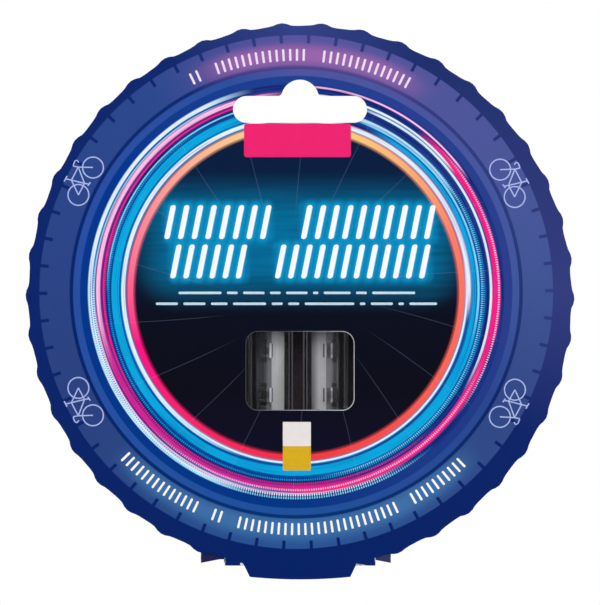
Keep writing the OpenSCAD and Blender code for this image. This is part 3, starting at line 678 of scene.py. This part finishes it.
def clear_tube_material():
    """Clear moulded plastic with faint draw lines along the tube and a painted glow, emitted along the
    edges of its walls.
    It lets nearly all of the lamps' light through to the board inside."""
    t, place = new_look("clear_tube")
    lines = t.noise(t.stretch(place, 900.0, 900.0, 14.0), 1.0, 3.0)
    shadow = t.add("LightPath").outputs["Is Shadow Ray"]
    # painted glow: emission along the edges where the tube turns away, weaker away from the middle between
    # the lights
    rim = t.band(t.add("LayerWeight", 0.5).outputs["Facing"], 0.66, 0.94, 0.1)
    aside = t.apart(t.over(t.axes(place)[0], MM), ROW_X)
    rim = t.times(rim, t.step(aside, 4.0, 10.0, 1.0, 0.15))
    return t.finish(
        Base_Color=t.mix(lines, ink(236, 240, 244), ink(250, 251, 252)),
        Roughness=t.linear(lines, 0.06, 0.01), Alpha=t.linear(shadow, -0.97, 1.0),
        Emission_Color=t.mix(rim, BLACK, ink(72, 68, 74)), Emission_Strength=1.0, Transmission_Weight=1.0,
        IOR=1.33, Normal=t.bump(lines, 0.05))


def moulded_material(name, colour, rough=0.45, grain=1400.0):
    """Moulded plastic or rubber: fine spark grain, slightly worn shine and a faint tone change."""
    t, place = new_look(name)
    spark = t.noise(place, grain, 5.0, 0.65)
    tone = t.noise(place, 90.0, 3.0)
    return t.finish(
        Base_Color=t.mix(t.times(tone, 0.6), colour, shade(colour, 1.7)),
        Roughness=t.linear(spark, 0.25, rough - 0.12), Normal=t.bump(spark, 0.2))


def plated_material(name, colour, rough=0.28):
    """Plated metal with fine turned lines and a little tarnish."""
    t, place = new_look(name)
    lines = t.noise(t.stretch(place, 300.0, 300.0, 9000.0), 1.0, 3.0)
    tarnish = t.noise(place, 220.0, 4.0, 0.6)
    return t.finish(
        Base_Color=t.mix(t.step(tarnish, 0.5, 0.85), colour, shade(colour, 0.62)),
        Roughness=t.linear(lines, 0.2, rough - 0.08), Metallic=1.0, Normal=t.bump(lines, 0.08))


def circuit_board_material(name, axis_x, led_side, led_z, lane, tones):
    """White board with a darker lane of solder mask under the LED column, pads at the LEDs' ends, faint
    tracks, painted shade far from the LEDs, on the lane's outer part and past a painted highlight line at
    the lane's outer edge."""
    t, place = new_look(name)
    axes = t.axes(place)
    x, z = axes[0], axes[2]
    across = t.times(t.minus(t.over(x, MM), axis_x), led_side)
    grain = t.noise(t.stretch(place, 1.0, 1.0, 0.05), 5200.0, 3.0, 0.6)
    cloud = t.noise(t.stretch(place, 1.0, 1.0, 0.25), 160.0, 2.0)
    bricks = t.add("TexBrick", t.vector(z, x, 0.0))
    t.set(bricks, Scale=1 / MM, Mortar_Size=0.05, Brick_Width=LED_PITCH / 2, Row_Height=0.85)
    tracks = bricks.outputs["Fac"]
    edge, pad_in, pad_out, highlight_at = lane
    shaded_far, unshaded_near, inner, shaded_outer, highlight_tone = tones
    # painted shade: the white is darker far from the LEDs
    white = t.mix(t.step(across, -BOARD_EDGE + 0.3, -BOARD_EDGE + 2.0), shaded_far, unshaded_near)
    white = t.mix(t.linear(grain, 0.2, t.times(cloud, 0.2)), white, ink(150, 146, 144))
    # painted shade: the lane is darker on its outer part
    mask = t.mix(t.step(across, pad_in - 0.7, pad_in + 0.8), inner, shaded_outer)
    mask = t.mix(t.times(grain, 0.4), mask, ink(40, 38, 44))
    # painted shade past the line, and the painted highlight line along the lane's outer edge
    mask = t.mix(t.step(across, highlight_at + 0.1, highlight_at + 0.3), mask, ink(24, 22, 26))
    mask = t.mix(t.band(across, highlight_at - 0.15, highlight_at + 0.15, 0.1), mask, highlight_tone)
    colour = t.mix(t.past(across, edge, 0.1), white, mask)
    colour = t.mix(t.times(tracks, 0.12), colour, ink(150, 140, 120))
    beat = t.over(t.minus(t.over(z, MM), led_z), LED_PITCH)
    from_led = t.times(t.math("PINGPONG", beat, 0.5), LED_PITCH)
    pad = t.times(t.band(from_led, PAD_FROM, PAD_TO, 0.15), t.band(across, pad_in, pad_out, 0.2))
    return t.finish(
        Base_Color=t.mix(t.times(pad, 0.95), colour, ink(10, 10, 12)), Roughness=t.linear(grain, 0.2, 0.35),
        Normal=t.bump(tracks, 0.2))


def led_material(name, column_x, led_side, turn_at, inner_tone, shaded_outer_tone, terminal_and_highlight_tone, terminals_and_highlights):
    """LED package: moulded body, darker on its outer side with painted shade, with strips along it: tinned
    terminals, and on the right LED a painted highlight.
    Places are in mm from the column's middle to the LED side."""
    t, place = new_look(name)
    off = t.times(t.minus(t.over(t.axes(place)[0], MM), column_x), led_side)
    grain = t.noise(place, 2600.0, 4.0, 0.6)
    # painted shade: the body turns darker on its outer side
    body = t.mix(t.past(off, turn_at, 0.1), inner_tone, shaded_outer_tone)
    body = t.mix(t.times(grain, 0.5), body, ink(34, 32, 36))
    # strips: tinned terminals, and on the right LED a painted highlight in the middle
    terminal_and_highlight = 0.0
    for middle, half_w in terminals_and_highlights:
        terminal_and_highlight = t.most(terminal_and_highlight, t.band(off, middle - half_w, middle + half_w, 0.1))
    return t.finish(
        Base_Color=t.mix(terminal_and_highlight, body, t.mix(grain, shade(terminal_and_highlight_tone, 0.8), terminal_and_highlight_tone)),
        Metallic=t.times(terminal_and_highlight, 0.2), Roughness=t.linear(grain, 0.2, 0.28), Normal=t.bump(grain, 0.1))


def lens_material():
    """Clear resin over the LED's chips: smoky, with small dark chip places in it."""
    t, place = new_look("led_resin")
    cells = t.set(t.add("TexVoronoi"), Vector=place, Scale=1600.0)
    grain = t.noise(place, 6000.0, 3.0)
    resin = t.mix(grain, ink(74, 71, 70), ink(112, 108, 102))
    chip = t.fall(cells.outputs["Distance"], 0.1, 0.35, 0.75)
    return t.finish(
        Base_Color=t.mix(chip, resin, ink(24, 22, 24)), Roughness=t.linear(grain, 0.1, 0.12),
        Alpha=t.linear(chip, 0.4, 0.1))


def dress(material, *names):
    """Gives CAD nodes their material."""
    for name in names:
        mesh = nodes[name].data
        mesh.materials.clear()
        mesh.materials.append(material)


def both(*names):
    """Node names of the left and the right light."""
    return [side + name for side in ("left_", "right_") for name in names]


def put_in(name, data):
    """New object of the scene with this data."""
    item = bpy.data.objects.new(name, data)
    scene.collection.objects.link(item)
    return item


def new_object(name, points, faces, material):
    """Mesh object at the origin, in the scene."""
    mesh = bpy.data.meshes.new(name)
    mesh.from_pydata(points.tolist(), [], faces)
    mesh.update()
    mesh.materials.append(material)
    return put_in(name, mesh)


def new_piece(name, points, faces, material, body="carton"):
    """Mesh object that rides on a body."""
    piece = new_object(name, points, faces, material)
    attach(piece, body)


def on_card(flat, lift):
    """Row places of card points (x, z): lift is the height above the card's front, in mm."""
    flat = np.asarray(flat, float)
    level = np.full(len(flat), CARD_FRONT - lift)
    return np.column_stack([flat[:, 0], level, flat[:, 1] - DISC_DROP]) * MM


def patches(name, outlines, material):
    """Flat films on the card: each convex outline, counter-clockwise, is carried from the card's face
    to INK in front of it."""
    points, faces, start = [], [], 0
    for outline in outlines:
        n = len(outline)
        points += [on_card(outline, INK), on_card(outline, 0.0)]
        ring = np.arange(n)
        after = np.roll(ring, -1)
        faces.append((start + ring).tolist())
        faces.append((start + n + ring[::-1]).tolist())
        faces += (start + np.column_stack([ring, ring + n, after + n, after])).tolist()
        start += 2 * n
    new_piece(name, np.vstack(points), faces, material)


def ribbons(name, paths, material):
    """Printed lines: each path (points, width, closed) carries a flat rectangle of that width along it.
    Lines that follow each other lie on different levels, so that they may cross."""
    points, faces, start = [], [], 0
    for k, (path, width, closed) in enumerate(paths):
        path = np.asarray(path, float)
        n = len(path)
        lift = INK * (1 - 0.5 * (k % LEVELS) / LEVELS)
        if closed:
            run = np.roll(path, -1, axis=0) - np.roll(path, 1, axis=0)
        else:
            run = np.gradient(path, axis=0)
        run /= np.linalg.norm(run, axis=1, keepdims=True)
        side = np.column_stack([-run[:, 1], run[:, 0]]) * width / 2
        left, right = path + side, path - side
        points += [on_card(left, lift), on_card(right, lift), on_card(right, 0.0), on_card(left, 0.0)]
        here = np.arange(n if closed else n - 1)
        there = (here + 1) % n
        for a, b in ((0, 1), (1, 2), (2, 3), (3, 0)):
            quads = np.column_stack([here + a * n, here + b * n, there + b * n, there + a * n])
            faces += (start + quads).tolist()
        if not closed:
            faces.append([start + corner * n for corner in (3, 2, 1, 0)])
            faces.append([start + corner * n + n - 1 for corner in (0, 1, 2, 3)])
        start += 4 * n
    new_piece(name, np.vstack(points), faces, material)


def circle(x, z, radius, steps=40):
    """Points of a circle on the card."""
    angle = np.linspace(0, 2 * math.pi, steps, endpoint=False)
    return np.column_stack([x + radius * np.cos(angle), z + radius * np.sin(angle)])


def rounded_box(x, z, width, height, radius, steps):
    """Points of a rectangle with round corners: four quarter circles in turn."""
    angle = np.linspace(0, math.pi / 2, steps)
    corners = []
    for k, (sx, sz) in enumerate(((1, 1), (-1, 1), (-1, -1), (1, -1))):
        turned = angle + k * math.pi / 2
        corners.append(np.column_stack([x + sx * (width / 2 - radius) + radius * np.cos(turned),
                                        z + sz * (height / 2 - radius) + radius * np.sin(turned)]))
    return np.vstack(corners)


def slanted_bar(x, z):
    """Leaning bar with round corners: a rounded box sheared sideways in proportion to its height."""
    bar = rounded_box(0.0, 0.0, BAR_W, BAR_H, BAR_W * BAR_ROUND, 5)
    return np.column_stack([x + bar[:, 0] + BAR_LEAN * bar[:, 1], z + bar[:, 1]])


def dash_row(z, left, right, counts):
    """Dashes of the given lengths from left to right, each one step from the next."""
    step = (right - left) / (sum(counts) + len(counts) - 1)
    dashes = []
    for count in counts:
        dashes.append(rounded_box(left + count * step / 2, z, count * step, DASH_H, DASH_R, 4))
        left += (count + 1) * step
    return dashes


def arc_marks(first, last, counts):
    """Short bars standing on an arc of the tyre wall in runs, from the first to the last angle in degrees.
    Angles are clockwise from the top, about the print's centre."""
    outlines = []
    bar = rounded_box(0.0, 0.0, MARK_W, MARK_H, MARK_W * BAR_ROUND, 4)
    for angle in np.radians(bar_places(first, last, counts)[0]):
        out = np.array([math.sin(angle), math.cos(angle)])
        across = np.array([math.cos(angle), -math.sin(angle)])
        outlines.append(np.array([PRINT_X, PRINT_Z]) + (MARK_R + bar[:, 1:]) * out + bar[:, :1] * across)
    return outlines


def bicycle_lines(x, z, angle, mirror):
    """Bicycle sign: wheels, frame tubes, saddle, bars and pedal, turned by angle about (x, z)."""
    wheel, base, stroke = 2.49, 7.4, 0.3
    rear, front, crank, seat = (0.0, 0.0), (base, 0.0), (3.12, 0.0), (2.32, 3.12)
    head, stem, pedal = (5.85, 3.15), (5.5, 4.33), (3.48, -1.03)
    post, saddle = (1.98, 4.47), [(1.2, 4.5), (2.7, 4.5)]
    bars = [stem, (6.2, 4.5), (6.75, 4.52), (7.17, 4.18), (6.88, 3.53)]
    treads = [(2.95, -0.96), (4.0, -1.1)]
    lines = [(circle(*rear, wheel), True), (circle(*front, wheel), True)]
    for line in ([rear, crank], [rear, seat], [crank, seat, post], [crank, head], [seat, head],
                 [front, head, stem], saddle, bars, [crank, pedal], treads):
        lines.append((line, False))
    turn = np.array([[math.cos(angle), math.sin(angle)], [-math.sin(angle), math.cos(angle)]])
    paths = []
    for line, closed in lines:
        line = (np.asarray(line, float) - [base / 2, 0.0]) * [mirror, 1.0]
        paths.append((line @ turn + [x, z], stroke, closed))
    return paths


def build_print():
    """Films and lines printed on the card, or cut into it."""
    white = flat_ink_material("white_ink", ink(244, 248, 252), 0.02)
    lilac = flat_ink_material("lilac_ink", ink(238, 220, 244))
    pale = flat_ink_material("pale_ink", ink(196, 222, 240))
    line = flat_ink_material("line_ink", ink(170, 184, 236))
    pink = flat_ink_material("pink_ink", ink(238, 36, 112))
    yellow = flat_ink_material("yellow_ink", ink(221, 176, 34))
    label = flat_ink_material("label_white", ink(236, 229, 229))

    patches("neon_bars", [slanted_bar(x, z) for z, left, right, counts in BAR_ROWS
                          for x in bar_places(left, right, counts)[0]], white)
    patches("fine_dashes", [dash for row in DASH_ROWS for dash in dash_row(*row)], pale)
    patches("top_arc_marks", arc_marks(*TOP_MARKS), lilac)
    patches("lower_arc_marks", arc_marks(*LOW_MARKS), white)
    patches("pink_tag", [rounded_box(*PINK_TAG)], pink)
    patches("label_upper", [rounded_box(*LABEL_UPPER)], label)
    patches("label_lower", [rounded_box(*LABEL_LOWER)], yellow)
    ribbons("bicycle_signs", [path for x, z, angle, mirror in SIGNS
                              for path in bicycle_lines(x, z, math.radians(angle), mirror)], line)

    lo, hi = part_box("window_film")
    window_z = (lo.z + hi.z) / 2 / MM + DISC_DROP
    window_w, window_h = (hi.x - lo.x) / MM - 2 * FILM_LAP, (hi.z - lo.z) / MM - 2 * FILM_LAP
    rim = rounded_box(0.0, window_z, window_w - BURR_W, window_h - BURR_W, WINDOW_R, 10)
    ribbons("window_cut_edge", [(rim, 2 * BURR_W, True)], cut_edge_material(0.0, window_z))
    raw = raw_edge_material()
    side = SHOULDER_X - CUT_W / 2
    edges = [[(-side, SHOULDER_TOP), (-side, SHOULDER_LOW)],
             [(side, SHOULDER_TOP), (side, SHOULDER_TOP - RIGHT_CUT_H)]]
    ribbons("shoulder_cut_edges", [(edge, CUT_W, False) for edge in edges], raw)
    # painted highlights where the corners beside the tongue curl, coloured as bare board
    patches("curl_highlights", [np.array(CURL_HIGHLIGHT_LEFT) + [-CORNER_X, SHOULDER_LOW],
                             np.array(CURL_HIGHLIGHT_RIGHT) + [CORNER_X, SHOULDER_LOW]], raw)


def dome_grid(radius, height, rings=4, count=20):
    """Cap of a sphere on the x-z plane, bulging along +y, closed by a fan below: points and faces."""
    ball = (radius ** 2 + height ** 2) / (2 * height)
    tilt = np.linspace(0.0, math.asin(radius / ball), rings + 1)[1:]
    turn = np.linspace(0, 2 * math.pi, count, endpoint=False)
    tilt_grid, turn_grid = np.meshgrid(tilt, turn, indexing="ij")
    shell = np.column_stack([(ball * np.sin(tilt_grid) * np.cos(turn_grid)).ravel(),
                             (ball * np.cos(tilt_grid) - ball + height).ravel(),
                             (ball * np.sin(tilt_grid) * np.sin(turn_grid)).ravel()])
    points = np.vstack([[0.0, height, 0.0], shell, [0.0, 0.0, 0.0]])
    here = np.arange(count)
    there = (here + 1) % count
    faces = np.column_stack([np.zeros(count, int), 1 + there, 1 + here]).tolist()
    for ring in range(rings - 1):
        a = 1 + ring * count
        faces += np.column_stack([a + here, a + there, a + count + there, a + count + here]).tolist()
    rim = 1 + (rings - 1) * count
    faces += np.column_stack([np.full(count, len(points) - 1), rim + here, rim + there]).tolist()
    return points, faces


def build_lenses():
    """Resin domes in the recesses of the LEDs, on both sides of each board."""
    material = lens_material()
    dome, faces = dome_grid(LENS_R, LENS_H)
    for side in ("left_", "right_"):
        lo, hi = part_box(side + "leds")
        middle = (lo + hi) / 2 / MM
        pitch = ((hi.z - lo.z) / MM - LED_L) / (LED_N - 1)
        depth = (hi.y - lo.y) / MM / 2 - LED_RECESS
        points, all_faces = [], []
        for k in range(LED_N):
            for sign in (-1, 1):
                start = len(dome) * len(points)
                place = [middle.x, middle.y + sign * depth, middle.z + (k - (LED_N - 1) / 2) * pitch]
                points.append(dome * [1.0, sign, 1.0] + place)
                all_faces += [[start + i for i in face[::sign]] for face in faces]
        points = np.vstack(points) * MM
        new_piece(side + "led_lenses", points, all_faces, material, side + "light")


def dress_nodes():
    """Materials of the CAD nodes."""
    dress(printed_card_material(), "front_card")
    dress(sleeve_material(), "box_sleeve")
    dress(flap_material(), "dust_flaps", "bottom_flap")
    dress(black_board_material(), "lamp_cradle")
    dress(clear_film_material(), "window_film")
    dress(clear_tube_material(), *both("tube"))
    dress(moulded_material("black_plastic", ink(22, 22, 25)),
          *both("battery_cap", "button_plug", "spoke_clips"))
    dress(moulded_material("seal_rubber", ink(70, 16, 16), 0.7), *both("cap_seal", "plug_seal"))
    dress(moulded_material("chip_black", ink(26, 26, 28), 0.5, 3000.0),
          *both("controller_chip", "chip_resistors", "key_switch"))
    dress(moulded_material("grey_rubber", ink(150, 152, 156), 0.75), *both("push_button"))
    dress(plated_material("cell_steel", ink(214, 214, 216)), *both("button_cells", "motion_switch"))
    dress(plated_material("spring_steel", ink(206, 200, 186), 0.22), *both("battery_spring"))
    dress(plated_material("brass", ink(214, 172, 84), 0.25), *both("contact_disc"))
    for side, (led_side, lane, tones) in BOARDS.items():
        lo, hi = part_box(side + "circuit_board")
        axis_x = (lo.x + hi.x) / 2 / MM
        lo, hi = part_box(side + "leds")
        column_x, led_z = (lo.x + hi.x) / 2 / MM, (lo.z + hi.z) / 2 / MM
        board = circuit_board_material(side + "white_board", axis_x, led_side, led_z, lane, tones)
        dress(board, side + "circuit_board")
        dress(led_material(side + "led_package", column_x, led_side, *LEDS[side]), side + "leds")


def seen_share(t):
    """1 for rays that show the surroundings, straight or by gloss and glass; and 1 for those by gloss."""
    path = t.add("LightPath")
    glossy = path.outputs["Is Glossy Ray"]
    shown = t.most(glossy, path.outputs["Is Transmission Ray"])
    return t.most(path.outputs["Is Camera Ray"], shown), glossy


def build_floor():
    """Pale floor under the hanging carton that runs out into the white surroundings."""
    floor_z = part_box("front_card")[0].z - FLOOR_DROP * MM
    t, place = new_look("pale_floor")
    cloud = t.noise(place, 30.0, 3.0)
    material = t.finish(Base_Color=t.mix(cloud, ink(242, 242, 240), ink(248, 248, 247)), Roughness=0.8)
    glow = t.add("Emission", WHITE, 1.0)
    flat = t.stretch(place, 1.0, 1.0, 0.0)
    away = t.add("VectorMath", flat, operation="LENGTH").outputs["Value"]
    share = t.times(seen_share(t)[0], t.step(away, FLOOR_NEAR, FLOOR_FAR, 0.35, 1.0))
    mixed = t.add("MixShader", share, t.shader.outputs[0], glow.outputs[0])
    t.set(t.tree.nodes["Material Output"], Surface=mixed.outputs[0])
    corners = FLOOR_HALF * np.array([[-1, -1], [1, -1], [1, 1], [-1, 1]])
    points = np.column_stack([corners, np.full(4, floor_z)])
    floor = new_object("floor", points, [[0, 1, 2, 3]], material)


def build_light():
    """White surroundings, dimmer in gloss on the side that faces the card, and four soft lamps.
    The front lamp is polarised: it lights the card but doesn't show in its gloss."""
    world = bpy.data.worlds.new("soft_room")
    scene.world = world
    world.use_nodes = True
    t = Tree(world.node_tree)
    seen, glossy = seen_share(t)
    ahead = t.axes(t.add("TexCoord").outputs["Generated"])[1]
    behind = t.times(glossy, t.fall(ahead, -0.5, 0.1, 0.95))
    t.set(world.node_tree.nodes["Background"], Color=WHITE,
          Strength=t.minus(t.linear(seen, 0.7, 0.3), behind))

    aim = Vector((0.0, 0.0, -DISC_DROP * MM))
    for name, (place, power, size, shine) in LAMPS.items():
        lamp = bpy.data.lights.new(name, "AREA")
        lamp.energy = power
        lamp.size = size
        holder = put_in(name, lamp)
        holder.visible_glossy = shine
        holder.location = place
        holder.rotation_euler = (aim - Vector(place)).to_track_quat("-Z", "Y").to_euler()


def build_camera():
    """Camera straight in front of the card, at the photograph's framing."""
    lens = bpy.data.cameras.new("camera")
    lens.sensor_fit = "HORIZONTAL"
    lens.sensor_width = SENSOR
    lens.lens = SENSOR * VIEW_FROM / FRAME_SPAN
    lens.clip_start = 0.01
    camera = put_in("camera", lens)
    camera.location = (0.0, (CARD_FRONT - VIEW_FROM) * MM, (VIEW_Z - DISC_DROP) * MM)
    camera.rotation_euler = (math.pi / 2, 0.0, 0.0)
    scene.camera = camera
    scene.view_settings.view_transform = "Standard"


dress_nodes()
build_print()
build_lenses()
build_floor()
build_light()
build_camera()
